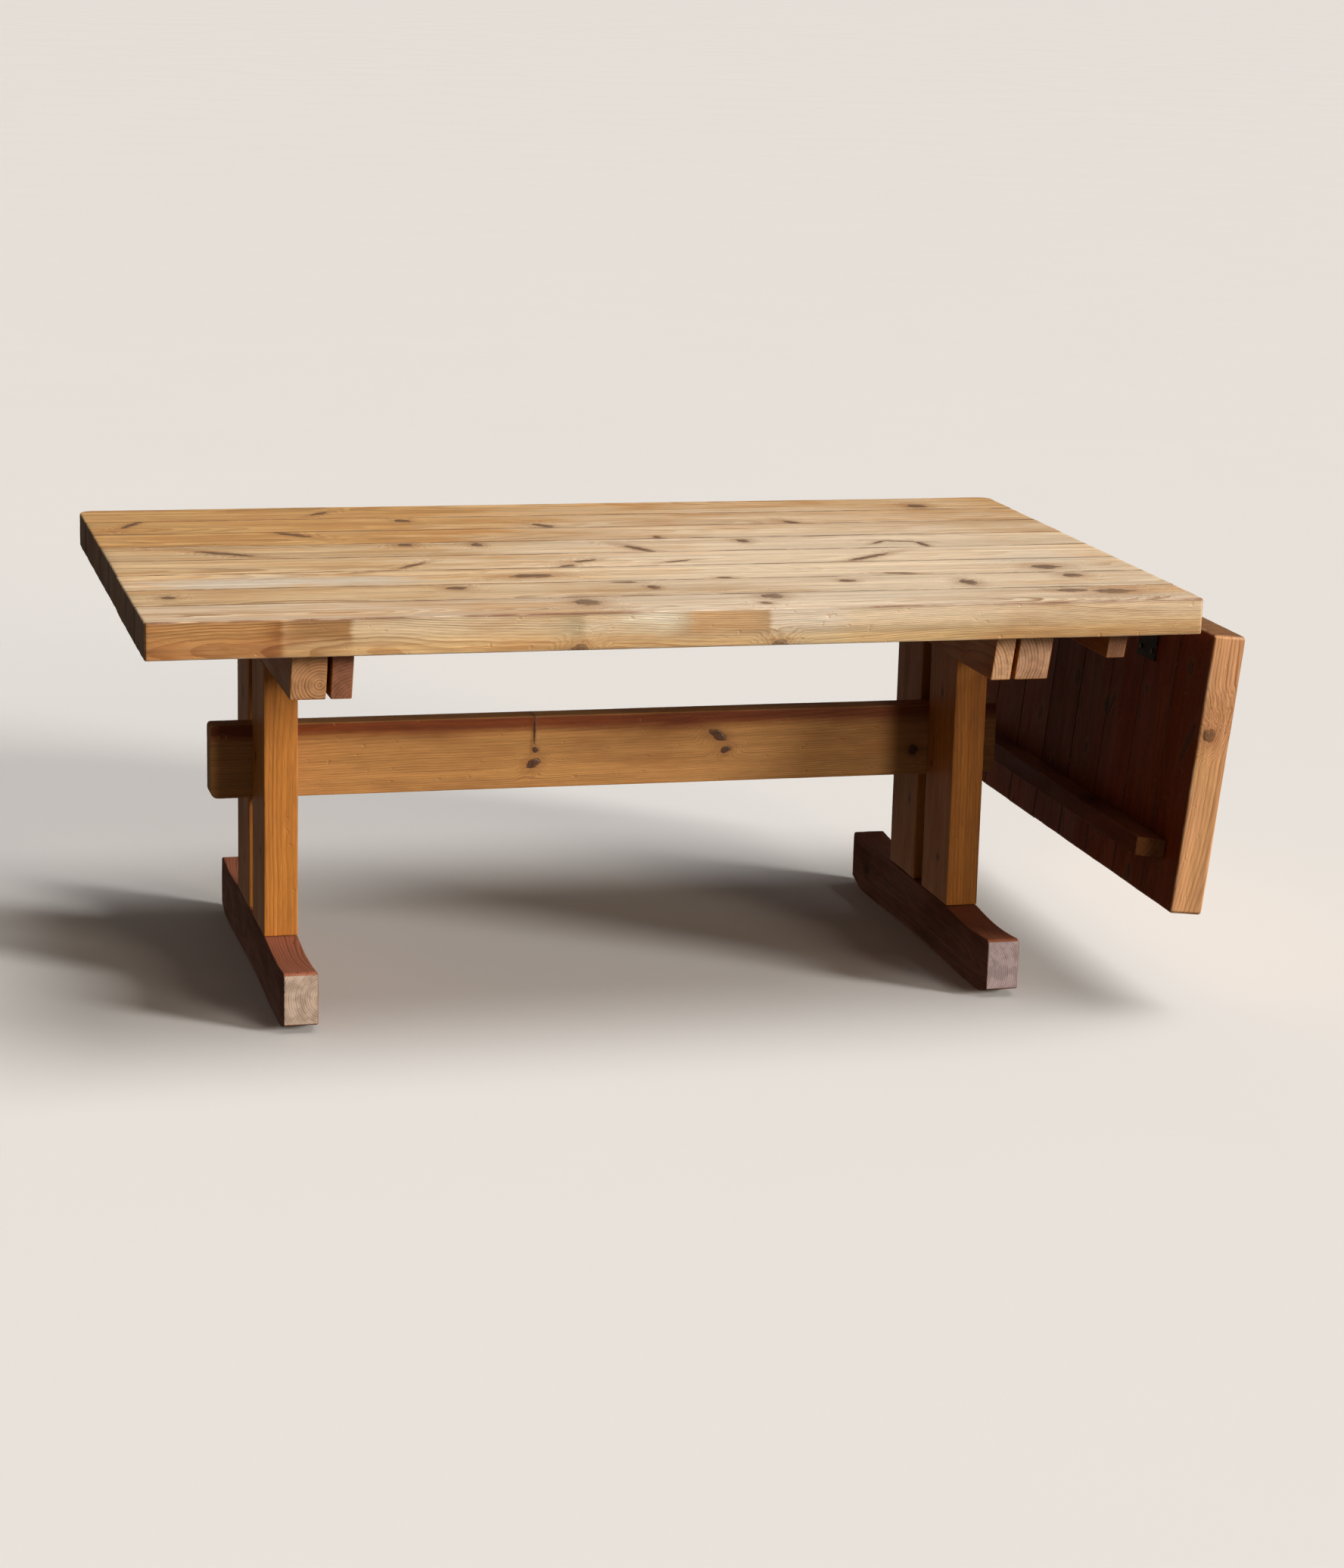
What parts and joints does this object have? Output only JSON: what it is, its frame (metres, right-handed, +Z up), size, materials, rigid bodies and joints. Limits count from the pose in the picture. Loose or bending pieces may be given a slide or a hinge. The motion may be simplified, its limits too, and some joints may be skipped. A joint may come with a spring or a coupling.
{
  "type": "drop-leaf trestle table",
  "caption": "Heavy pine trestle table with a boarded top, sled feet, split posts, a through stretcher and a thick drop leaf hinged at one end.",
  "frame": {"origin": "centre of the whole table's footprint at floor level, with the leaf hanging", "axes": "+X along the top towards the hinged leaf, +Y to the back, +Z up"},
  "size_m": [1.8812, 1.104, 0.742],
  "materials": {
    "top_pine": "worn oiled pine",
    "frame_pine": "stained pine, satin",
    "foot_pine": "dark stained pine, worn",
    "peg_wood": "dark end grain",
    "hinge_iron": "dull blackened iron",
    "steel_screw": "dull zinc"
  },
  "bodies": {
    "table": {"top_stave_1": "top_pine", "top_stave_2": "top_pine", "top_stave_3": "top_pine", "top_stave_4": "top_pine", "top_stave_5": "top_pine", "top_stave_6": "top_pine", "top_stave_7": "top_pine", "top_stave_8": "top_pine", "left_foot": "foot_pine", "left_front_post": "frame_pine", "left_back_post": "frame_pine", "left_head_rail": "frame_pine", "left_batten": "frame_pine", "right_foot": "foot_pine", "right_front_post": "frame_pine", "right_back_post": "frame_pine", "right_head_rail": "frame_pine", "right_batten": "frame_pine", "stretcher": "frame_pine", "stretcher_pegs": "peg_wood", "stretcher_dowels": "peg_wood", "hinge_batten": "frame_pine", "front_loper": "frame_pine", "back_loper": "frame_pine", "loper_stop_pegs": "peg_wood", "hinge_1_fixed_plate": "hinge_iron", "hinge_2_fixed_plate": "hinge_iron", "hinge_3_fixed_plate": "hinge_iron", "hinge_1_pin": "hinge_iron", "hinge_2_pin": "hinge_iron", "hinge_3_pin": "hinge_iron", "rail_screws": "steel_screw", "batten_screws": "steel_screw", "hinge_batten_screws": "steel_screw", "fixed_plate_screws": "steel_screw"},
    "leaf": {"leaf_stave_1": "top_pine", "leaf_stave_2": "top_pine", "leaf_stave_3": "top_pine", "leaf_stave_4": "top_pine", "leaf_stave_5": "top_pine", "leaf_stave_6": "top_pine", "leaf_stave_7": "top_pine", "leaf_stave_8": "top_pine", "leaf_batten": "frame_pine", "hinge_1_leaf_plate": "hinge_iron", "hinge_2_leaf_plate": "hinge_iron", "hinge_3_leaf_plate": "hinge_iron", "leaf_batten_screws": "steel_screw", "leaf_plate_screws": "steel_screw"}
  },
  "joints": [
    {"name": "leaf_hinge", "type": "hinge", "parent": "table", "child": "leaf", "pos_m": [0.87141, 0, 0.67], "axis": [0, -1, 0], "range_deg": [0, 96]}
  ]
}
